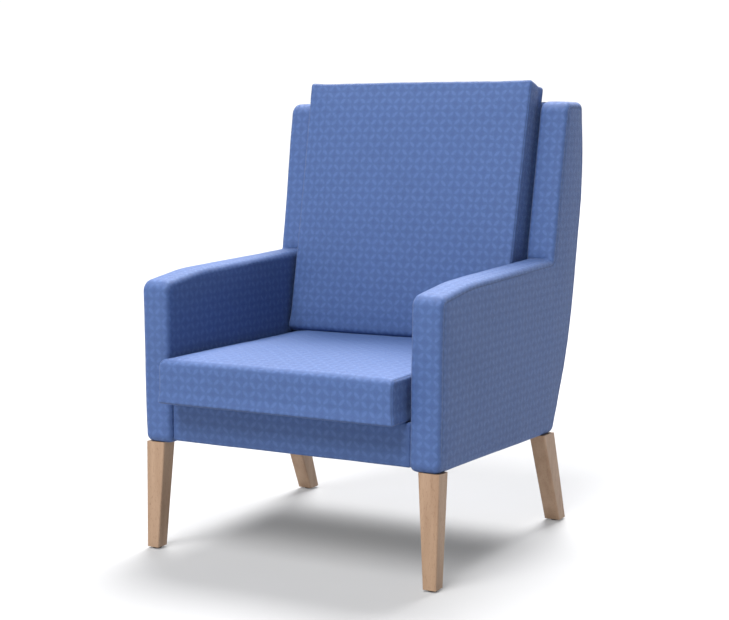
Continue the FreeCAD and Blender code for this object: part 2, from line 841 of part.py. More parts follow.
nodes["seat_cushion_zip"] = [seat_zip]
nodes["seat_zip_slider"] = [seat_slider]
nodes["back_cushion_foam"] = [back_foam]
nodes["back_cushion_cover"] = [back_cover]
nodes["back_cushion_zip"] = [back_zip]
nodes["back_zip_slider"] = [back_slider]

# The origin stands on the floor under the middle of the whole chair
whole = FreeCAD.BoundBox()
for shapes in nodes.values():
    for shape in shapes:
        whole.add(shape.optimalBoundingBox(True))
shift = Vector(0, -(whole.YMin + whole.YMax) / 2, 0)
for name, shapes in nodes.items():
    solids = [solid.translated(shift) for shape in shapes for solid in shape.Solids]
    result = solids[0] if len(solids) == 1 else Part.makeCompound(solids)
    result.exportStep("parts/" + name + ".step")
    state = "valid" if all(solid.isValid() for solid in solids) else "NOT VALID"
    print(name, len(solids), "solids", round(sum(solid.Volume for solid in solids)), "cubic mm", state)
print("size", round(whole.XLength, 2), round(whole.YLength, 2), round(whole.ZLength, 2))
print("shift", round(shift.y, 3), "lowest", round(whole.ZMin, 4))
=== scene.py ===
import json
import math

import bmesh
import bpy
from mathutils import Matrix, Vector, noise


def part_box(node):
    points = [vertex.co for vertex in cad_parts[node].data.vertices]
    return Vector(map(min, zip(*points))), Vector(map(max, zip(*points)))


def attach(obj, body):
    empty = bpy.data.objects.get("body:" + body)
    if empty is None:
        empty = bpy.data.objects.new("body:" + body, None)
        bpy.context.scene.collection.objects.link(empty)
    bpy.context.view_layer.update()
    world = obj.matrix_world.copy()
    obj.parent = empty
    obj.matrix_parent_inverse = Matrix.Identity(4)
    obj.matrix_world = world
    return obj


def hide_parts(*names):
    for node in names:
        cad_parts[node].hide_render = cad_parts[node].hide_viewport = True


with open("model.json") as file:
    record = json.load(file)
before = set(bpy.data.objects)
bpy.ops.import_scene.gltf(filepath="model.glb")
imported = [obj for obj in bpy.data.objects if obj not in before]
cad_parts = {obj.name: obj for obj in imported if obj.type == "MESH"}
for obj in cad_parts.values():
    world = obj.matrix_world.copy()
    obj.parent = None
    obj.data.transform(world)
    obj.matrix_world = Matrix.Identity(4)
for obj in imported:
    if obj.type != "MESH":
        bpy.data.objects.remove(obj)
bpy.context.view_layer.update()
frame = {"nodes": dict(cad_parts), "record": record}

# All sizes are in metres and degrees.
# X runs across the seat, Y to the rear and Z up from the floor.

# The sides: arm and wing in one outline, measured back from the arm's front face
ARM_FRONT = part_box("side_cover_right")[0].y
HALF_GAP = 0.323
SIDE_WIDTH = 0.0755
SIDE_LEAN = 0.8
SEAT_TOP = 0.477
WING_FOOT = (0.638, 0.6925)
WING_LEAN = 10.1
BACK_TOP = 1.0875
TAN_WING = math.tan(math.radians(WING_LEAN))
TAN_SIDE = math.tan(math.radians(SIDE_LEAN))
WING_TOP_Y = WING_FOOT[0] + (BACK_TOP - WING_FOOT[1]) * TAN_WING
SIDE_OUTLINE = [
    (0, 0.266, 0.018),
    (0, 0.655, 0.028),
    (0.150, 0.6755, 0.600),
    (*WING_FOOT, 0.006),
    (WING_TOP_Y, BACK_TOP, 0.030),
    (WING_TOP_Y + 0.108, BACK_TOP, 0.018),
    (WING_TOP_Y + 0.133, BACK_TOP - 0.190, 0.600),
    (WING_TOP_Y + 0.069, BACK_TOP - 0.602, 1.000),
    (WING_TOP_Y - 0.036, 0.246, 0.018),
]
CORNER_SHARE = 0.48
CORNER_STEPS = 7

# How cloth is sewn and how it lies
RIM_R = 0.013
INNER_RIM_R = 0.0145
RIM_STEPS = 5
SEAM_IN = 0.0015
SEAM_DEPTH = 0.0008
SEAM_REACH = 0.0022
SEAM_PUFF = 0.0005
CREASE_DEPTH = 0.003
CREASE_REACH = 0.0045
CREASE_END = 0.45
HIDDEN_SEAM = 0.02
FAR = 1.0
PANEL_STEP = 0.013
SIDE_PUFF = 0.0025
BAND_PUFF = 0.0016
PUFF_REACH = 0.045
ARM_LOW = 0.246
TUCK = 0.003
TUCK_FROM = 0.6
TUCK_TO = 0.31
HIDDEN_FROM = ARM_LOW + 0.025
# Scales the crease's distance in the seam measure, which sets the width of the painted shade along the
# crease
CREASE_SHADE_SHARE = 0.4

# How unevenly the cloth lies: each layer's depth, its size across and its seed
SIDE_LIE = ((0.0009, 0.16, 3.7), (0.0004, 0.06, 1.3))
SIDE_TUG = ((0.0006, 0.022, 5.1),)
SIDE_TUG_REACH = 0.012
CUSHION_LIE = ((0.0010, 0.17, 1), (0.0004, 0.05, 1))
CUSHION_TUG = ((0.0007, 0.02, 1),)
CUSHION_TUG_REACH = 0.014
CUSHION_LIE_FROM = 0.02
BACK_LIE = ((0.0012, 0.2, 8.3), (0.0005, 0.06, 2.9))
BORDER_LIE = ((0.0008, 0.12, 4.4), (0.0004, 0.04, 7.7))
DECK_LIE = ((0.0008, 0.09, 6.1),)
DUST_LIE = ((0.0012, 0.08, 9.2),)

# The cloth's lattice: diamonds in rows and columns, and the dashes along their edges
LATTICE = 0.0393
DASH_HALF_L = 0.33
DASH_HALF_W = 0.15
DASH_FROM = 0.3
DASH_TO = 1.35
DIAMOND_FROM = 0.10
DIAMOND_TO = 0.30
THREAD = 0.0009
# Band along seams and the wing-foot crease that is darkened: stitch thread, plus painted shade in the seam
# groove and the crease
SEAM_THREAD_AND_SHADE_FROM = 0.0003
SEAM_THREAD_AND_SHADE_TO = 0.0016
PUCKER_FROM = 0.002
PUCKER_TO = 0.016

# The back unit between the wings
RECESS = 0.039
BACK_SET = 0.004
BACK_SPLIT = 0.050
BACK_RIM_R = 0.004
BACK_RIM_STEPS = 3
BACK_MARGIN = 0.004
BACK_SWELL = 0.003
BACK_SWELL_REACH = 0.06
BACK_LIE_FROM = 0.03
BACK_CLEAR = 0.0004

# The cushions
CUSHION_STEP = 0.0115
CUSHION_ARC_STEPS = 4
FRONT_ROLL_STEPS = 6
SHARP = math.radians(40)
CUSHION_SEAM = 0.4
STUFFING_STEPS = 20
STUFFING_PRESSURE = 4.0
STUFFING_CAP = 0.006
COVER_STIFFNESS = 30
COVER_BENDING = 2
CUT_DIST = 1e-6
LEVEL = 1e-5

LEFT, RIGHT = (0, -1), (0, 1)
FRONT, REAR = (1, -1), (1, 1)
UNDER, TOP = (2, -1), (2, 1)
AXES = (Vector((1, 0, 0)), Vector((0, 1, 0)), Vector((0, 0, 1)))


class Wire:
    """A value in a finish's node tree, so that sums are written as plain expressions."""

    def __init__(self, finish, socket):
        self.finish = finish
        self.socket = socket

    def sum(self, operation, *terms):
        return self.finish.node("ShaderNodeMath", {"operation": operation}, dict(enumerate(terms)))

    def __add__(self, other):
        return self.sum("ADD", self, other)

    __radd__ = __add__

    def __sub__(self, other):
        return self.sum("SUBTRACT", self, other)

    def __rsub__(self, other):
        return self.sum("SUBTRACT", other, self)

    def __mul__(self, other):
        return self.sum("MULTIPLY", self, other)

    __rmul__ = __mul__

    def __truediv__(self, other):
        return self.sum("DIVIDE", self, other)

    def __abs__(self):
        return self.sum("ABSOLUTE", self)

    def sine(self):
        return self.sum("SINE", self)

    def most(self, other):
        return self.sum("MAXIMUM", self, other)

    def off_centre(self):
        """How far the value is from the nearest whole number, from -0.5 to 0.5."""
        return self.sum("FRACT", self + 0.5) - 0.5

    def ramp(self, low, high):
        """0 below low, 1 above high, eased between them."""
        inputs = {"Value": self, "From Min": low, "From Max": high}
        return self.finish.node("ShaderNodeMapRange", {"interpolation_type": "SMOOTHSTEP"}, inputs)


class Finish:
    """One material: a Principled shader and the nodes that feed it."""

    def __init__(self, name, **constants):
        self.material = bpy.data.materials.new(name)
        self.material.use_nodes = True
        self.tree = self.material.node_tree
        self.shader = self.tree.nodes["Principled BSDF"]
        for words, value in constants.items():
            self.shader.inputs[words.replace("_", " ")].default_value = value

    def join(self, value, socket):
        if isinstance(value, Wire):
            self.tree.links.new(value.socket, socket)
        else:
            socket.default_value = value

    def node(self, kind, settings=None, inputs=None, output=0):
        made = self.tree.nodes.new(kind)
        for name, value in (settings or {}).items():
            setattr(made, name, value)
        for name, value in (inputs or {}).items():
            self.join(value, made.inputs[name])
        return Wire(self, made.outputs[output])

    def feed(self, **inputs):
        for words, value in inputs.items():
            self.join(value, self.shader.inputs[words.replace("_", " ")])

    def parts(self, vector):
        return [self.node("ShaderNodeSeparateXYZ", None, {"Vector": vector}, k) for k in range(3)]

    def place(self):
        return self.node("ShaderNodeTexCoord", None, None, "Object")

    def stretched(self, scale, turn=(0, 0, 0)):
        inputs = {"Vector": self.place(), "Scale": scale, "Rotation": turn}
        return self.node("ShaderNodeMapping", None, inputs)

    def noise(self, scale, detail=2.0, vector=None, roughness=0.5):
        inputs = {"Scale": scale, "Detail": detail, "Roughness": roughness}
        inputs["Vector"] = vector or self.place()
        return self.node("ShaderNodeTexNoise", None, inputs)

    def blend(self, amount, low, high):
        """A colour between two, by a value from 0 to 1."""
        inputs = {"Factor": amount, 6: low, 7: high}
        return self.node("ShaderNodeMix", {"data_type": "RGBA"}, inputs, 2)

    def relief(self, height, distance, strength=1.0):
        inputs = {"Height": height, "Distance": distance, "Strength": strength}
        return self.node("ShaderNodeBump", None, inputs)


def colour(red, green, blue):
    """A screen colour of 0 to 255, as light."""
    shares = [c / 255 for c in (red, green, blue)]
    light = [c / 12.92 if c <= 0.04045 else ((c + 0.055) / 1.055) ** 2.4 for c in shares]
    return (*light, 1.0)


CLOTH_DARK = colour(53, 80, 132)
CLOTH_MID = colour(56, 84, 136)
CLOTH_LIGHT = colour(64, 93, 147)


def patterned_cloth():
    """Jacquard upholstery cloth: a lattice of diamonds in one blue, with dashes in a smoother weave."""
    cloth = Finish("patterned_cloth", Sheen_Weight=0.1, Sheen_Roughness=0.3, Specular_IOR_Level=0.65)
    spot = cloth.node("ShaderNodeUVMap", {"uv_map": "cloth"})
    across, along, _ = cloth.parts(spot)
    rising = abs(((across + along) / LATTICE).off_centre())
    falling = abs(((across - along) / LATTICE).off_centre())

    def dash(over, beside):
        """One light dash, long beside a diamond's edge and narrow over it."""
        narrow = (0.5 - over) / DASH_HALF_W
        long = beside / DASH_HALF_L
        return 1 - (narrow * narrow + long * long).ramp(DASH_FROM, DASH_TO)

    uneven = cloth.noise(55.0, 2.0).ramp(0.25, 0.75)
    dashes = dash(rising, falling).most(dash(falling, rising)) * (uneven * 0.7 + 0.55)
    diamond = 1 - rising.most(falling).ramp(DIAMOND_FROM, DIAMOND_TO)
    warp = (across * (2 * math.pi / THREAD)).sine()
    weft = (along * (2 * math.pi / THREAD)).sine()
    weave = warp * weft
    fibres = cloth.noise(900.0, 2.0)
    cast = cloth.noise(5.0, 2.0)
    mottle = cloth.noise(170.0, 2.0)
    seam = cloth.node("ShaderNodeAttribute", {"attribute_name": "seam"}, None, "Fac")
    # Mask for the darker band along seams and the wing-foot crease: stitch thread with painted shade in
    # their grooves
    seam_thread_and_shade = 1 - seam.ramp(SEAM_THREAD_AND_SHADE_FROM, SEAM_THREAD_AND_SHADE_TO)
    near_seam = 1 - seam.ramp(PUCKER_FROM, PUCKER_TO)
    pucker = cloth.noise(70.0, 1.0)

    tone = cloth.blend(diamond, CLOTH_MID, CLOTH_DARK)
    tone = cloth.blend(dashes, tone, CLOTH_LIGHT)
    # The colour is darkened along seams and the crease: the thread, plus painted shade in the seam groove
    # and the crease
    shade = 0.73 + fibres * 0.16 + mottle * 0.26 + cast * 0.12 + weave * 0.05 - seam_thread_and_shade * 0.3
    shaded = {"Factor": 1.0, 6: tone, 7: shade}
    tone = cloth.node("ShaderNodeMix", {"data_type": "RGBA", "blend_type": "MULTIPLY"}, shaded, 2)
    height = weave * 0.3 + fibres * 0.35 + dashes * 0.25 + near_seam * pucker * 2.2 - seam_thread_and_shade * 1.5
    roughness = 0.68 - dashes * 0.04 + fibres * 0.1
    cloth.feed(Base_Color=tone, Roughness=roughness, Normal=cloth.relief(height, 0.0004, 0.6))
    return cloth


def plain_cloth(name, base, lit, thread, roughness):
    """A plain woven or felted cloth on the object's own place."""
    cloth = Finish(name, Sheen_Weight=0.15, Specular_IOR_Level=0.25)
    x, y, z = cloth.parts(cloth.place())
    turn = 2 * math.pi / thread
    weave = ((x + z) * turn).sine() * ((y + z) * turn).sine()
    fibres = cloth.noise(500.0, 3.0)
    cast = cloth.noise(7.0, 2.0)
    tone = cloth.blend(fibres * 0.6 + cast * 0.4 + weave * 0.15, base, lit)
    rough = roughness + fibres * 0.12
    cloth.feed(Base_Color=tone, Roughness=rough, Normal=cloth.relief(weave + fibres, 0.0003, 0.5))
    return cloth


WEBBING_STRIPE = 0.0085
WEBBING_THREAD = 0.0018


def webbing():
    """Elastic webbing with rubber stripes along it."""
    cloth = Finish("webbing", Specular_IOR_Level=0.3)
    x, _, z = cloth.parts(cloth.place())
    turn = 2 * math.pi / WEBBING_THREAD
    stripe = (z * (2 * math.pi / WEBBING_STRIPE)).sine().ramp(0.55, 0.8)
    weave = (x * turn).sine() * (z * turn).sine()
    fibres = cloth.noise(600.0, 2.0)
    tone = cloth.blend(fibres + weave * 0.2, colour(96, 90, 80), colour(142, 134, 118))
    tone = cloth.blend(stripe, tone, colour(38, 36, 34))
    relief = cloth.relief(weave + fibres, 0.0004, 0.6)
    cloth.feed(Base_Color=tone, Roughness=0.7 + fibres * 0.2, Normal=relief)
    return cloth


BEECH_PALE = colour(164, 136, 112)
BEECH_DEEP = colour(147, 118, 94)
BEECH_FLECK = colour(108, 77, 54)
BEECH_PORE = colour(120, 90, 66)
BEECH_WARM = colour(170, 142, 115)
REAR_LEG_RAKE = -16


def beech(name, rake):
    """Lacquered beech: straight grain along the leg, with the short dark flecks of its rays."""
    wood = Finish(name, Specular_IOR_Level=0.35, Coat_Roughness=0.25)
    turn = (math.radians(rake), 0, 0)
    figure = wood.noise(1.0, 3.0, wood.stretched((42, 42, 2.4), turn), 0.6)
    pores = wood.noise(1.0, 2.0, wood.stretched((900, 900, 26), turn), 0.6)
    rays = wood.noise(1.0, 1.0, wood.stretched((620, 620, 95), turn))
    fleck = rays.ramp(0.60, 0.70)
    cast = wood.noise(6.0, 2.0)
    tone = wood.blend(figure.ramp(0.30, 0.72), BEECH_PALE, BEECH_DEEP)
    tone = wood.blend(fleck * 0.45, tone, BEECH_FLECK)
    tone = wood.blend(pores.ramp(0.5, 0.8) * 0.35, tone, BEECH_PORE)
    tone = wood.blend(cast.ramp(0.35, 0.75) * 0.3, tone, BEECH_WARM)
    roughness = 0.42 + pores * 0.12 + fleck * 0.06
    wood.feed(Base_Color=tone, Roughness=roughness, Coat_Weight=0.06 + cast * 0.08)
    wood.feed(Normal=wood.relief(pores + fleck, 0.00015, 0.35))
    return wood


def frame_timber():
    """Unfinished frame wood with sawn faces."""
    wood = Finish("frame_timber", Specular_IOR_Level=0.25)
    figure = wood.noise(1.0, 4.0, wood.stretched((9, 34, 34)), 0.6)
    saw = wood.noise(1.0, 2.0, wood.stretched((420, 60, 60)))
    tone = wood.blend(figure.ramp(0.3, 0.7), colour(214, 184, 142), colour(184, 146, 102))
    tone = wood.blend(saw.ramp(0.55, 0.75) * 0.3, tone, colour(160, 122, 82))
    wood.feed(Base_Color=tone, Roughness=0.7 + saw * 0.2, Normal=wood.relief(saw + figure, 0.0004, 0.5))
    return wood


def hardboard():
    """Pressed brown board, felted fibres on one face."""
    board = Finish("hardboard", Specular_IOR_Level=0.3)
    fibres = board.noise(260.0, 4.0)
    cast = board.noise(12.0, 2.0)
    tone = board.blend(fibres * 0.7 + cast * 0.3, colour(112, 78, 50), colour(158, 116, 78))
    board.feed(Base_Color=tone, Roughness=0.62 + fibres * 0.2, Normal=board.relief(fibres, 0.0003, 0.5))
    return board


def metal(name, base, lit, roughness):
    """Plated steel with faint drawing marks and tarnish."""
    steel = Finish(name, Specular_IOR_Level=0.5)
    drawn = steel.noise(1.0, 2.0, steel.stretched((900, 240, 900)))
    cast = steel.noise(40.0, 3.0)
    tone = steel.blend(cast, base, lit)
    steel.feed(Base_Color=tone, Metallic=1.0 - cast.ramp(0.6, 0.9) * 0.15)
    steel.feed(Roughness=roughness + drawn * 0.2, Normal=steel.relief(drawn, 0.0001, 0.3))
    return steel


def nylon():
    """Dark moulded nylon, scuffed where it slides."""
    plastic = Finish("nylon", Specular_IOR_Level=0.45)
    grain = plastic.noise(700.0, 2.0)
    scuff = plastic.noise(1.0, 3.0, plastic.stretched((90, 420, 90)))
    tone = plastic.blend(scuff.ramp(0.5, 0.8), colour(30, 30, 31), colour(66, 65, 63))
    plastic.feed(Base_Color=tone, Roughness=0.45 + grain * 0.2, Normal=plastic.relief(grain, 0.0001, 0.3))
    return plastic


ZIP_COIL = 0.0016


def zip_tape():
    """Woven zip tape with the ribs of its coil."""
    tape = Finish("zip_tape", Specular_IOR_Level=0.35)
    x, _, _ = tape.parts(tape.place())
    ribs = (x * (2 * math.pi / ZIP_COIL)).sine()
    fibres = tape.noise(800.0, 2.0)
    tone = tape.blend(fibres * 0.6 + ribs * 0.25 + 0.2, colour(40, 62, 120), colour(66, 94, 160))
    tape.feed(Base_Color=tone, Roughness=0.55 + fibres * 0.2, Normal=tape.relief(ribs, 0.0004, 0.7))
    return tape


CLOTH = patterned_cloth()
DECK_CLOTH = plain_cloth("deck_cloth", colour(40, 58, 108), colour(64, 86, 142), 0.0016, 0.72)
DUST_CLOTH = plain_cloth("dust_cloth", colour(24, 24, 26), colour(52, 52, 55), 0.0021, 0.82)
FRONT_BEECH = beech("front_leg_beech", 0)
REAR_BEECH = beech("rear_leg_beech", REAR_LEG_RAKE)
FINISHES = {
    "beech": FRONT_BEECH,
    "frame_timber": frame_timber(),
    "hardboard": hardboard(),
    "steel": metal("zinc_plated_steel", colour(150, 152, 156), colour(196, 197, 198), 0.28),
    "zip_metal": metal("zip_metal", colour(52, 62, 96), colour(96, 106, 140), 0.3),
    "nylon": nylon(),
    "webbing": webbing(),
    "zip_tape": zip_tape(),
}


def dress_hard_parts():
    """Gives every part that keeps its own shape the finish of its slot."""
    for part in frame["record"]["subparts"]:
        finish = FINISHES.get(part["material_slot"])
        if finish is None:
            continue
        if part["node"].startswith("rear_leg"):
            finish = REAR_BEECH
        for place in frame["nodes"][part["node"]].material_slots:
            place.material = finish.material


def everything(bm):
    return bm.verts[:] + bm.edges[:] + bm.faces[:]


def cut_at(bm, axis, place):
    """Cuts a form by one plane square to an axis."""
    spot = AXES[axis] * place
    bmesh.ops.bisect_plane(bm, geom=everything(bm), dist=CUT_DIST, plane_co=spot, plane_no=AXES[axis])


def cut_across(bm, axis, low, high, step):
    """Cuts a form by evenly spaced planes square to an axis."""
    count = math.ceil((high - low) / step)
    for k in range(1, count):
        cut_at(bm, axis, low + (high - low) * k / count)


def outline_face(bm, corners, x):
    """A flat face in the outline of a side, each corner rounded."""
    spots = [Vector((x, ARM_FRONT + y, z)) for y, z, _ in corners]
    verts = [bm.verts.new(spot) for spot in spots]
    bm.faces.new(verts)
    for k, vert in enumerate(verts):
        before = spots[k - 1] - spots[k]
        after = spots[(k + 1) % len(spots)] - spots[k]
        reach = corners[k][2] / math.tan(before.angle(after) / 2)
        reach = min(reach, CORNER_SHARE * min(before.length, after.length))
        rounding = {"segments": CORNER_STEPS, "profile": 0.5, "affect": "VERTICES", "material": -1}
        bmesh.ops.bevel(bm, geom=[vert], offset=reach, offset_type="OFFSET", **rounding)
    return bm.faces[:][0]


def draw_out(bm, x0, x1):
    """Draws a flat outline out across the seat into a closed block."""
    made = bmesh.ops.extrude_face_region(bm, geom=bm.faces[:])
    moved = [part for part in made["geom"] if isinstance(part, bmesh.types.BMVert)]
    bmesh.ops.translate(bm, verts=moved, vec=(x1 - x0, 0, 0))
    bmesh.ops.recalc_face_normals(bm, faces=bm.faces[:])


def roll_rims(bm, radii, steps, margins=()):
    """Rounds both ends of a drawn-out block over to flat panels, with loops beside the seams."""
    caps = [face for face in bm.faces if abs(face.normal.x) > 0.99]
    caps.sort(key=lambda face: face.calc_center_median().x)
    angles = [math.pi / 2 * k / steps for k in range(steps + 1)]
    for cap, radius in zip(caps, radii):
        for a, b in zip(angles, angles[1:]):
            inwards = radius * (math.cos(a) - math.cos(b))
            outwards = radius * (math.sin(b) - math.sin(a))
            bmesh.ops.inset_region(bm, faces=[cap], thickness=inwards, depth=outwards, use_even_offset=True)
        for margin in margins:
            bmesh.ops.inset_region(bm, faces=[cap], thickness=margin, use_even_offset=True)


class Outline:
    """The outline's line, to measure along it and in from it."""

    def __init__(self, face):
        loop = [Vector((v.co.y, v.co.z)) for v in face.verts]
        if sum(a.cross(b) for a, b in zip(loop, loop[1:] + loop[:1])) > 0:
            loop.reverse()
        start = min(range(len(loop)), key=lambda k: (loop[k] - Vector((0.1, 0.25))).length)
        loop = loop[start:] + loop[:start]
        self.runs = []
        self.length = 0.0
        for a, b in zip(loop, loop[1:] + loop[:1]):
            run = b - a
            self.runs.append((a, run / run.length, run.length, self.length))
            self.length += run.length

    def measure(self, y, z):
        """The distance along the outline and the distance in from it."""
        best = (FAR, 0.0)
        for start, way, length, before in self.runs:
            off_y = y - start.x
            off_z = z - start.y
            along = min(max(off_y * way.x + off_z * way.y, 0.0), length)
            gap = math.hypot(off_y - along * way.x, off_z - along * way.y)
            if gap < best[0]:
                best = (gap, before + along)
        return best[1], best[0]


def finished(name, bm, finish, body):
    """Makes a piece of a form, shaded smooth, and lets it ride on a body."""
    mesh = bpy.data.meshes.new(name)
    bm.to_mesh(mesh)
    bm.free()
    mesh.shade_smooth()
    mesh.materials.append(finish.material)
    piece = bpy.data.objects.new(name, mesh)
    bpy.context.scene.collection.objects.link(piece)
    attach(piece, body)
    return piece


def lay_cloth(bm, panel):
    """Lays the cloth's pattern on every face; panel gives a vertex's place on the cloth in metres."""
    spots = bm.loops.layers.uv.new("cloth")
    for face in bm.faces:
        for loop in face.loops:
            loop[spots].uv = panel(loop.vert, face)


def seam_pull(distance):
    """How far the cloth is drawn in beside a seam, with the small swell next to it."""
    groove = SEAM_DEPTH * math.exp(-((distance / SEAM_REACH) ** 2))
    swell = SEAM_PUFF * math.exp(-(((distance - 3 * SEAM_REACH) / (2 * SEAM_REACH)) ** 2))
    return groove - swell


def ripple(spot, size, seed=0.0):
    """A smooth value from -1 to 1 that wanders over the given size."""
    return noise.noise(spot / size + Vector((seed, seed, seed)))


def wander(spot, layers, seed=1.0):
    """How far cloth lies above or below its smooth shape, by the sum of its layers."""
    return sum(depth * ripple(spot, size, own * seed) for depth, size, own in layers)


def ease(value, low, high):
    """0 below low, 1 above high, eased between them."""
    share = min(max((value - low) / (high - low), 0.0), 1.0)
    return share * share * (3 - 2 * share)


def side_form():
    """One side, upright, with its outline's measure."""
    bm = bmesh.new()
    face = outline_face(bm, SIDE_OUTLINE, HALF_GAP + INNER_RIM_R)
    line = Outline(face)
    draw_out(bm, HALF_GAP + INNER_RIM_R, HALF_GAP + SIDE_WIDTH - RIM_R)
    roll_rims(bm, (INNER_RIM_R, RIM_R), RIM_STEPS, (SEAM_IN, SEAM_IN / 2))
    low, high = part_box("side_cover_right")
    cut_across(bm, 1, low.y, high.y, PANEL_STEP)
    cut_across(bm, 2, low.z, high.z, PANEL_STEP)
    cut_across(bm, 0, HALF_GAP + INNER_RIM_R, HALF_GAP + SIDE_WIDTH - RIM_R, PANEL_STEP)
    return bm, line


def dress_side(form, line, hand):
    """Pads, sews and leans one side; hand is 1 for the right and -1 for the left."""
    bm = form.copy()
    bm.normal_update()
    middle = HALF_GAP + SIDE_WIDTH / 2
    seam_at = RIM_R + SEAM_IN
    seams = bm.verts.layers.float.new("seam")
    measures = {vert: line.measure(vert.co.y, vert.co.z) for vert in bm.verts}
    foot, _ = line.measure(ARM_FRONT + WING_FOOT[0], WING_FOOT[1])

    def panel(vert, face):
        spot = vert.co
        along, inwards = measures[vert]
        if inwards_of[face] > seam_at:
            return spot.y * hand, spot.z
        side = math.copysign(1, spot.x - middle)
        turn = along + line.length if along < line.length / 2 and far_of[face] else along
        return (spot.x - middle + side * inwards) * hand, turn

    inwards_of = {}
    far_of = {}
    for face in bm.faces:
        found = [measures[vert] for vert in face.verts]
        flat = all(abs(vert.co.x - middle) > SIDE_WIDTH / 2 - LEVEL for vert in face.verts)
        inwards_of[face] = sum(m[1] for m in found) / len(found) if flat else 0.0
        far_of[face] = max(m[0] for m in found) - min(m[0] for m in found) > line.length / 2
    lay_cloth(bm, panel)

    moves = {}
    for vert in bm.verts:
        along, inwards = measures[vert]
        across = (vert.co.x - middle) / (SIDE_WIDTH / 2)
        to_face = SIDE_WIDTH / 2 - abs(vert.co.x - middle)
        outer = vert.co.x > middle
        distance = math.hypot(inwards - seam_at, to_face) if outer else FAR
        crease = FAR
        if inwards < INNER_RIM_R:
            crease = math.hypot(along - foot, max(across - CREASE_END, 0.0) * SIDE_WIDTH / 2)
        distance += HIDDEN_SEAM * (1 - ease(vert.co.z, HIDDEN_FROM, TUCK_TO))
        # The crease's distance joins the seam measure, so the cloth paints shade along the crease at the
        # wing's foot
        vert[seams] = min(distance, crease * CREASE_SHADE_SHARE)
        on_panel = max(inwards - seam_at, 0.0)
        swell = SIDE_PUFF * (1 - math.exp(-on_panel / PUFF_REACH))
        if on_panel == 0.0:
            swell = BAND_PUFF * max(1 - across * across, 0.0)
        lie = wander(vert.co, SIDE_LIE, hand)
        tug = wander(vert.co, SIDE_TUG, hand) * math.exp(-distance / SIDE_TUG_REACH)
        fold = CREASE_DEPTH * math.exp(-((crease / CREASE_REACH) ** 2))
        moves[vert] = vert.normal * (swell + lie + tug - seam_pull(distance) - fold)
    for vert, move in moves.items():
        across = (vert.co.x - middle) / (SIDE_WIDTH / 2)
        vert.co += move
        vert.co.z += TUCK * ease(across, TUCK_FROM, 1.0) * (1 - ease(vert.co.z, ARM_LOW, TUCK_TO))
    hinge = Vector((HALF_GAP, 0, SEAT_TOP))
    lean = Matrix.Rotation(math.radians(SIDE_LEAN), 3, "Y")
    bmesh.ops.rotate(bm, verts=bm.verts, cent=hinge, matrix=lean)
    if hand < 0:
        bmesh.ops.scale(bm, verts=bm.verts, vec=(-1, 1, 1))
        bmesh.ops.reverse_faces(bm, faces=bm.faces)
    word = "right" if hand > 0 else "left"
    side = finished("side_upholstery_" + word, bm, CLOTH, "chair")
    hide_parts("side_cover_" + word, "side_foam_" + word)
    return side


def block(half, radius, step, roll=None):
    """A block with rounded edges and small faces; roll gives one front edge's own radius and its way."""
    bm = bmesh.new()
    bmesh.ops.create_cube(bm, size=2)
    bmesh.ops.scale(bm, verts=bm.verts, vec=half)
    rounding = {"offset_type": "OFFSET", "profile": 0.5, "affect": "EDGES", "material": -1}
    if roll:
        size, way = roll
        lip = [edge for edge in bm.edges if all(v.co.y < 0 < v.co.z * way for v in edge.verts)]
        bmesh.ops.bevel(bm, geom=lip, offset=size, segments=FRONT_ROLL_STEPS, **rounding)
    sharp = [edge for edge in bm.edges if edge.calc_face_angle() > SHARP]
    bmesh.ops.bevel(bm, geom=sharp, offset=radius, segments=CUSHION_ARC_STEPS, **rounding)
    for axis in range(3):
        reach = half[axis] - radius
        cut_across(bm, axis, -reach, reach, step)
    return bm


def seam_distance(spot, half, radius, seams):
    """How far a spot of a block is from its nearest seam; a seam runs where two of the six faces meet."""
    tuck = radius * (1 - math.sqrt(0.5))
    best = FAR
    for (a, way_a), (b, way_b) in seams:
        off_a = spot[a] * way_a - (half[a] - tuck)
        off_b = spot[b] * way_b - (half[b] - tuck)
        best = min(best, math.hypot(off_a, off_b))
    return best


def stuff(piece, looseness):
    """Lets a cover swell over its filling, by no more than the cap, and less where it is held."""
    rest = [vert.co.copy() for vert in piece.data.vertices]
    cloth = piece.modifiers.new("stuffing", "CLOTH")
    cloth.settings.use_pressure = True
    cloth.settings.uniform_pressure_force = STUFFING_PRESSURE
    cloth.settings.effector_weights.gravity = 0
    cloth.settings.tension_stiffness = COVER_STIFFNESS
    cloth.settings.compression_stiffness = COVER_STIFFNESS
    cloth.settings.bending_stiffness = COVER_BENDING
    cloth.collision_settings.use_collision = False
    scene = bpy.context.scene
    for step in range(1, STUFFING_STEPS + 1):
        scene.frame_set(step)
    swollen = piece.evaluated_get(bpy.context.evaluated_depsgraph_get()).data
    ends = [vert.co.copy() for vert in swollen.vertices]
    piece.modifiers.remove(cloth)
    scene.frame_set(1)
    for vert, start, end, loose in zip(piece.data.vertices, rest, ends, looseness):
        way = end - start
        vert.co = start + way * (loose * STUFFING_CAP / (STUFFING_CAP + way.length))


def refine(piece):
    """Divides a cover once more, smoothly."""
    finer = piece.modifiers.new("finer", "SUBSURF")
    finer.levels = 1
    finer.render_levels = 1
    finer.uv_smooth = "NONE"
    mesh = bpy.data.meshes.new_from_object(piece.evaluated_get(bpy.context.evaluated_depsgraph_get()))
    piece.modifiers.remove(finer)
    old = piece.data
    mesh.name = old.name + "_mesh"
    piece.data = mesh
    bpy.data.meshes.remove(old)


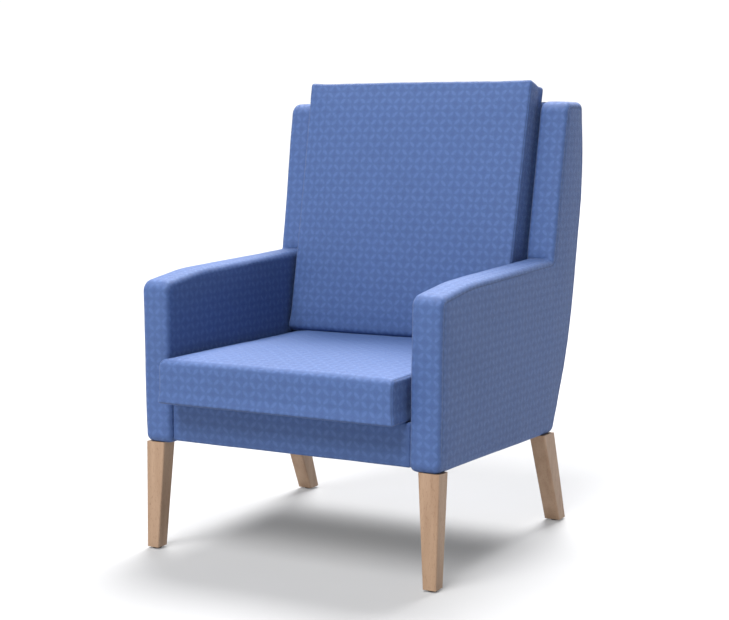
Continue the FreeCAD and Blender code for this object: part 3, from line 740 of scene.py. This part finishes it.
def sew(piece, seed):
    """Draws a cover in along its seams and lets it lie a little uneven."""
    mesh = piece.data
    distances = [mark.value for mark in mesh.attributes["seam"].data]
    normals = [vert.normal.copy() for vert in mesh.vertices]
    for vert, distance, normal in zip(mesh.vertices, distances, normals):
        lie = wander(vert.co, CUSHION_LIE, seed)
        tug = wander(vert.co, CUSHION_TUG, seed) * math.exp(-distance / CUSHION_TUG_REACH)
        lie = lie * min(1.0, distance / CUSHION_LIE_FROM)
        vert.co += normal * (lie + tug - CUSHION_SEAM * seam_pull(distance))


def cushion(name, body, half, radius, seams, panel, crowned, looseness, seed, replaced, roll, slit=None):
    """A stuffed cushion: a block with its pattern and seams, crowned into place, stuffed and sewn."""
    bm = block(half, radius, CUSHION_STEP, roll)
    if slit:
        slit(bm)
    bm.normal_update()
    lay_cloth(bm, lambda vert, face: panel(vert.co, face.normal))
    marks = bm.verts.layers.float.new("seam")
    loose = []
    for vert in bm.verts:
        vert[marks] = seam_distance(vert.co, half, radius, seams)
        loose.append(looseness(vert.co))
    for vert in bm.verts:
        vert.co = crowned(vert.co)
    piece = finished(name, bm, CLOTH, body)
    stuff(piece, loose)
    refine(piece)
    sew(piece, seed)
    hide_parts(*replaced)
    return piece


SEAT_R = 0.009
SEAT_CROWN = 0.0085
SEAT_RIM_CROWN = 0.0025
SEAT_ROLL = 0.018
SEAT_HUMP_AT = 0.34
SEAT_HUMP_END = 0.80
SEAT_DRAW = 0.006
SEAT_HELD = 0.03
SEAT_SEED = 2.2
CROWN_ROUNDNESS = 0.8


def seat_cushion():
    """The loose seat cushion: top and front in one piece of cloth, side panels and underside sewn to it."""
    low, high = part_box("seat_cushion_cover")
    half = Vector(((high.x - low.x) / 2, (high.y - low.y) / 2, (SEAT_TOP - low.z) / 2))
    centre = Vector((0, (low.y + high.y) / 2, (SEAT_TOP + low.z) / 2))
    sides = [(side, edge) for side in (LEFT, RIGHT) for edge in (TOP, FRONT, REAR, UNDER)]
    seams = sides + [(UNDER, FRONT), (UNDER, REAR), (TOP, REAR)]

    def panel(spot, normal):
        if abs(normal.x) > 0.7:
            return spot.y, spot.z
        if normal.z < -0.7:
            return spot.x, -spot.y
        if normal.y > 0.7:
            return spot.x, spot.z
        return spot.x, spot.y + spot.z

    def crowned(spot):
        share = (spot.y + half.y) / (2 * half.y)
        hump = ease(share, 0.0, SEAT_HUMP_AT) * (1 - ease(share, SEAT_HUMP_AT, SEAT_HUMP_END))
        across = 1 - (spot.x / half.x) ** 2
        lift = (SEAT_RIM_CROWN + SEAT_CROWN * hump) * max(across, 0.0) ** CROWN_ROUNDNESS
        rise = ease(spot.z, 0.0, half.z)
        draw = 1 - SEAT_DRAW * max(1 - (spot.y / half.y) ** 2, 0.0)
        return centre + Vector((spot.x * draw, spot.y, spot.z + lift * rise))

    def looseness(spot):
        off_floor = ease(spot.z, -half.z, -half.z + SEAT_HELD)
        off_zip = 1 - 0.9 * ease(spot.y, half.y - SEAT_HELD, half.y)
        return off_floor * off_zip

    replaced = ("seat_cushion_cover", "seat_cushion_foam")
    words = ("seat_cushion_upholstery", "seat_cushion", half, SEAT_R, seams, panel, crowned, looseness)
    return cushion(*words, SEAT_SEED, replaced, (SEAT_ROLL, 1))


BACK_R = 0.008
BACK_ROLL = 0.022
BACK_REAR_DRAW = 0.011
BACK_LOW_D = 0.108
BACK_TOP_D = 0.082
BACK_TILT = math.radians(12.5)
BACK_CUSHION_TOP = 1.141
BACK_CUSHION_LOW = 0.4803
BACK_CROWN = 0.008
BACK_CREST = 0.007
BACK_SIDE_GAP = 0.0036
BACK_REAR_GAP = 0.0008
BACK_WIDTH_GAP = 0.001
BACK_DRAW = 0.004
BACK_CREST_FROM = 0.55
BACK_REAR_DROP = 0.8
BACK_SEAT_HELD = 0.05
BACK_LINING_HELD = 0.03
BACK_SEED = 6.4
ZIP_SHARE = 0.72
PLACKET_D = 0.0068
PLACKET_W = 0.0142
PLACKET_EXTRA = 0.022


def lining_y(z, depth=0.0):
    """The back unit's sloping front face, or a plane so far behind it."""
    slope = depth / math.cos(math.radians(WING_LEAN))
    return ARM_FRONT + WING_FOOT[0] + (z - WING_FOOT[1]) * TAN_WING + RECESS + slope


def leaning_half(z):
    """Half the room between the sides at a height."""
    return HALF_GAP + (z - SEAT_TOP) * TAN_SIDE


def back_cushion():
    """The loose back cushion: a wedge, its front and rear panels sewn to a strip round its edge."""
    low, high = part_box("back_cushion_cover")
    low_rear = Vector((0, lining_y(BACK_CUSHION_LOW) - BACK_REAR_GAP, BACK_CUSHION_LOW))
    low_front = low_rear - Vector((0, BACK_LOW_D - BACK_REAR_GAP, 0))
    top_rear_z = BACK_CUSHION_TOP - BACK_TOP_D * math.sin(BACK_TILT)
    top_rear = Vector((0, lining_y(top_rear_z) - BACK_REAR_GAP, top_rear_z))
    top_run = Vector((0, -BACK_TOP_D * math.cos(BACK_TILT), BACK_TOP_D * math.sin(BACK_TILT)))
    top_front = top_rear + top_run
    height = (top_front - low_front).length
    half = Vector(((high.x - low.x) / 2 - BACK_WIDTH_GAP, (BACK_LOW_D + BACK_TOP_D) / 4, height / 2))
    strip = [(face, edge) for face in (FRONT, REAR) for edge in (LEFT, RIGHT, TOP, UNDER)]

    def panel(spot, normal):
        if normal.y < -0.7:
            return spot.x, spot.z
        if normal.y > 0.7:
            return -spot.x, spot.z
        if abs(normal.x) > abs(normal.z):
            return spot.y, spot.z
        return spot.x, spot.y

    def crowned(spot):
        rise = (spot.z + half.z) / height
        back = (spot.y + half.y) / (2 * half.y)
        across = max(1 - (spot.x / half.x) ** 2, 0.0) ** CROWN_ROUNDNESS
        hump = math.sin(math.pi * min(max(rise, 0.0), 1.0)) ** CROWN_ROUNDNESS
        front = low_front.lerp(top_front, rise)
        rear = low_rear.lerp(top_rear, rise)
        place = front.lerp(rear, back)
        out = (front - rear).normalized() * BACK_CROWN * across * hump * (1 - ease(back, 0.1, 0.6))
        crest = BACK_CREST * ease(rise, BACK_CREST_FROM, 1.0) * (0.6 + 0.4 * across)
        crest *= 1 - BACK_REAR_DROP * ease(back, 0.2, 1.0) * (1 - across)
        room = (leaning_half(place.z) - BACK_SIDE_GAP) / half.x
        draw = 1 - BACK_DRAW * hump - BACK_REAR_DRAW * ease(back, 0.3, 1.0) * ease(rise, 0.6, 1.0)
        return place + out + Vector((spot.x * room * draw, 0, crest))

    def looseness(spot):
        off_seat = ease(spot.z, -half.z, -half.z + BACK_SEAT_HELD)
        off_lining = 1 - ease(spot.y, half.y - BACK_LINING_HELD, half.y)
        return off_seat * off_lining

    def placket(bm):
        """A slit along the underside, deep enough to hide the zip and its slider."""
        zip_half = (high.x - low.x) / 2 * ZIP_SHARE
        ends = (-zip_half - PLACKET_EXTRA, zip_half)
        for place in ends:
            cut_at(bm, 0, place)
        for place in (-PLACKET_W / 2, PLACKET_W / 2):
            cut_at(bm, 1, place)

        def inside(face):
            middle = face.calc_center_median()
            level = middle.z < -half.z + LEVEL
            return level and ends[0] < middle.x < ends[1] and abs(middle.y) < PLACKET_W / 2

        floor = [face for face in bm.faces if inside(face)]
        made = bmesh.ops.extrude_face_region(bm, geom=floor)
        moved = [part for part in made["geom"] if isinstance(part, bmesh.types.BMVert)]
        bmesh.ops.translate(bm, verts=moved, vec=(0, 0, PLACKET_D))
        bmesh.ops.delete(bm, geom=floor, context="FACES")

    replaced = ("back_cushion_cover", "back_cushion_foam")
    words = ("back_cushion_upholstery", "back_cushion", half, BACK_R, strip, panel, crowned, looseness)
    return cushion(*words, BACK_SEED, replaced, (BACK_ROLL, -1), placket)


def back_unit(name, near, far, replaced):
    """A layer of the back between the wings, from one depth behind its front face to another."""
    bm = bmesh.new()
    face = outline_face(bm, SIDE_OUTLINE, 0.0)
    ring = bmesh.ops.inset_region(bm, faces=[face], thickness=BACK_SET, use_even_offset=True)
    bmesh.ops.delete(bm, geom=ring["faces"], context="FACES")
    slope = Vector((0, math.cos(math.radians(WING_LEAN)), -math.sin(math.radians(WING_LEAN))))
    for depth, side in ((near, "clear_inner"), (far, "clear_outer")):
        if depth is None:
            continue
        spot = Vector((0, lining_y(SEAT_TOP, depth), SEAT_TOP))
        cut = {"dist": CUT_DIST, "plane_co": spot, "plane_no": slope, side: True}
        bmesh.ops.bisect_plane(bm, geom=everything(bm), **cut)
    half = HALF_GAP - BACK_RIM_R
    bmesh.ops.translate(bm, verts=bm.verts, vec=(-half, 0, 0))
    draw_out(bm, -half, half)
    roll_rims(bm, (BACK_RIM_R, BACK_RIM_R), BACK_RIM_STEPS, (BACK_MARGIN,))
    heights = [vert.co.z for vert in bm.verts]
    low, high = min(heights), max(heights)
    cut_across(bm, 2, low, high, PANEL_STEP)
    cut_across(bm, 0, -half, half, PANEL_STEP)
    bm.normal_update()

    def panel(vert, face):
        if abs(face.normal.z) > 0.7:
            return vert.co.x, vert.co.y
        return math.copysign(1, -face.normal.y) * vert.co.x, vert.co.z

    lay_cloth(bm, panel)
    marks = bm.verts.layers.float.new("seam")
    moves = {}
    for vert in bm.verts:
        vert[marks] = FAR
        edge = min(HALF_GAP - abs(vert.co.x), vert.co.z - low, high - vert.co.z)
        swell = BACK_SWELL * (1 - math.exp(-max(edge, 0.0) / BACK_SWELL_REACH))
        lie = wander(vert.co, BACK_LIE) * min(1.0, max(edge, 0.0) / BACK_LIE_FROM)
        moves[vert] = vert.normal * (swell + lie)
    for vert, move in moves.items():
        vert.co += move
        vert.co.x *= (leaning_half(vert.co.z) - BACK_CLEAR) / HALF_GAP
    piece = finished(name, bm, CLOTH, "chair")
    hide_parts(*replaced)
    return piece


BORDER_R = 0.007
BORDER_SWELL = 0.003
BORDER_SWELL_REACH = 0.025


def front_border():
    """The padded border under the seat cushion."""
    low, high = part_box("border_cover")
    half = (high - low) / 2
    centre = (high + low) / 2
    bm = block(half, BORDER_R, CUSHION_STEP)
    bm.normal_update()

    def panel(vert, face):
        if abs(face.normal.z) > 0.7:
            return vert.co.x, vert.co.y * math.copysign(1, face.normal.z)
        return vert.co.x, vert.co.z

    lay_cloth(bm, panel)
    marks = bm.verts.layers.float.new("seam")
    moves = {}
    for vert in bm.verts:
        vert[marks] = FAR
        edge = min(half.x - abs(vert.co.x), half.z - abs(vert.co.z))
        swell = 0.0
        if vert.co.y < 0:
            swell = BORDER_SWELL * (1 - math.exp(-max(edge, 0.0) / BORDER_SWELL_REACH))
        moves[vert] = vert.normal * (swell + wander(vert.co, BORDER_LIE))
    for vert, move in moves.items():
        vert.co += move
        vert.co += centre
    piece = finished("front_border_upholstery", bm, CLOTH, "chair")
    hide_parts("border_cover", "border_foam")
    return piece


DECK_R = 0.003
DECK_STEP = 0.016
DECK_DIP = 0.0014
DECK_DIP_REACH = 0.06
DECK_WAVE = 0.0006
DECK_WAVES = 70
DECK_LIE_FROM = 0.03


def seat_deck():
    """The cloth-covered pad that the seat cushion lies on, dipped between its springs."""
    low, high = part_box("seat_deck")
    half = (high - low) / 2
    centre = (high + low) / 2
    bm = block(half, DECK_R, DECK_STEP)
    for vert in bm.verts:
        edge = min(half.x - abs(vert.co.x), half.y - abs(vert.co.y))
        dip = DECK_DIP * (1 - math.exp(-max(edge, 0.0) / DECK_DIP_REACH))
        lie = wander(vert.co, DECK_LIE) + DECK_WAVE * math.cos(vert.co.x * DECK_WAVES)
        sink = dip + lie * min(1.0, edge / DECK_LIE_FROM)
        vert.co.z -= max(sink, 0.0) if vert.co.z > 0 else 0.0
        vert.co += centre
    piece = finished("seat_deck_pad", bm, DECK_CLOTH, "chair")
    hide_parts("seat_deck")
    return piece


DUST_GRID = (46, 42)
DUST_SAG = 0.005
DUST_SAG_FROM = 0.02
DUST_SAG_TO = 0.22
DUST_LIE_TO = 0.05
DUST_GAP = 0.0001
DUST_THICK = 0.0006


def dust_cover():
    """The thin cloth tacked under the seat frame, hanging a little between its rails."""
    low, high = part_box("dust_cover")
    half = (high - low) / 2
    centre = (high + low) / 2
    bm = bmesh.new()
    bmesh.ops.create_grid(bm, x_segments=DUST_GRID[0], y_segments=DUST_GRID[1], size=1)
    bmesh.ops.scale(bm, verts=bm.verts, vec=(half.x, half.y, 1))
    for vert in bm.verts:
        edge = min(half.x - abs(vert.co.x), half.y - abs(vert.co.y))
        sag = DUST_SAG * ease(edge, DUST_SAG_FROM, DUST_SAG_TO)
        lie = wander(vert.co, DUST_LIE) * ease(edge, 0.0, DUST_LIE_TO)
        vert.co.z = high.z - centre.z - DUST_GAP - max(sag + lie, 0.0)
        vert.co += centre
    bmesh.ops.solidify(bm, geom=bm.faces[:], thickness=-DUST_THICK)
    bmesh.ops.recalc_face_normals(bm, faces=bm.faces[:])
    piece = finished("dust_cover_cloth", bm, DUST_CLOTH, "chair")
    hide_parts("dust_cover")
    return piece


# The camera, the floor and the light
CAMERA_AT = (1.8359, -3.3501, 1.0091)
CAMERA_DOWN = 6.58
CAMERA_ROUND = 28.725
CAMERA_LENS = 75.85
CAMERA_SENSOR = 36.0
FLOOR_SIZE = 60.0
FLOOR_GLOW = 0.18
SKY_DIM = 0.15
RING_POWER = 1.05
RIGHT_DIM = 0.12
REAR_POWER = 6.6
REAR_SPREAD = 36.0
REAR_TILT = (-31.0, -9.0)
FRONT_POWER = 4.0
FRONT_SPREAD = 35.0
FRONT_TILT = (34.0, -2.0)
WHITE = (1.0, 1.0, 1.0, 1.0)


def set_camera():
    lens = bpy.data.cameras.new("camera")
    lens.lens = CAMERA_LENS
    lens.sensor_width = CAMERA_SENSOR
    camera = bpy.data.objects.new("camera", lens)
    camera.location = CAMERA_AT
    camera.rotation_euler = (math.radians(90 - CAMERA_DOWN), 0, math.radians(CAMERA_ROUND))
    bpy.context.scene.collection.objects.link(camera)
    bpy.context.scene.camera = camera


def canopy(name, power, spread, tilt):
    """A broad light from above, tilted about the room's width and then its depth."""
    light = bpy.data.lights.new(name, "SUN")
    light.energy = power
    light.angle = math.radians(spread)
    lamp = bpy.data.objects.new(name, light)
    lamp.rotation_euler = (math.radians(tilt[0]), math.radians(tilt[1]), 0)
    bpy.context.scene.collection.objects.link(lamp)


def set_stage():
    bm = bmesh.new()
    bmesh.ops.create_grid(bm, x_segments=2, y_segments=2, size=FLOOR_SIZE / 2)
    mesh = bpy.data.meshes.new("floor")
    bm.to_mesh(mesh)
    bm.free()
    paint = Finish("floor_paint", Roughness=0.9, Specular_IOR_Level=0.1, Emission_Strength=FLOOR_GLOW)
    speck = paint.noise(3.0, 3.0)
    paint.feed(Base_Color=paint.blend(speck, colour(154, 154, 155), colour(160, 160, 161)))
    paint.feed(Emission_Color=WHITE)
    mesh.materials.append(paint.material)
    floor = bpy.data.objects.new("floor", mesh)
    bpy.context.scene.collection.objects.link(floor)

    world = bpy.data.worlds.new("studio")
    world.use_nodes = True
    sky = world.node_tree.nodes
    links = world.node_tree.links
    way = sky.new("ShaderNodeTexCoord")
    parts = sky.new("ShaderNodeSeparateXYZ")
    links.new(way.outputs["Generated"], parts.inputs["Vector"])

    def fade(part, start, end, first, last):
        """Light that changes with the direction's height or side."""
        made = sky.new("ShaderNodeMapRange")
        made.interpolation_type = "SMOOTHSTEP"
        for name, value in (("From Min", start), ("From Max", end), ("To Min", first), ("To Max", last)):
            made.inputs[name].default_value = value
        links.new(parts.outputs[part], made.inputs["Value"])
        return made.outputs["Result"]

    def joined(operation, first, second):
        """One sum of two lights."""
        made = sky.new("ShaderNodeMath")
        made.operation = operation
        links.new(first, made.inputs[0])
        links.new(second, made.inputs[1])
        return made.outputs[0]

    ring = fade("Z", 0.12, 0.5, RING_POWER, SKY_DIM)
    high = fade("Z", 0.05, 0.15, 0.0, 1.0)
    right = fade("X", 0.45, 0.8, 0.0, 1.0 - RIGHT_DIM)
    lost = joined("MULTIPLY", ring, joined("MULTIPLY", high, right))
    links.new(joined("SUBTRACT", ring, lost), sky["Background"].inputs["Strength"])
    sky["Background"].inputs["Color"].default_value = WHITE
    bpy.context.scene.world = world
    canopy("rear_canopy", REAR_POWER, REAR_SPREAD, REAR_TILT)
    canopy("front_canopy", FRONT_POWER, FRONT_SPREAD, FRONT_TILT)
    bpy.context.scene.view_settings.view_transform = "Standard"


dress_hard_parts()
side, side_line = side_form()
for hand in (1, -1):
    dress_side(side, side_line, hand)
side.free()
back_unit("back_lining_upholstery", 0.0, BACK_SPLIT, ("back_inner_cover", "back_pad"))
back_unit("outside_back_upholstery", BACK_SPLIT, None, ("back_outer_cover", "back_wadding"))
front_border()
seat_deck()
dust_cover()
seat_cushion()
back_cushion()
set_camera()
set_stage()
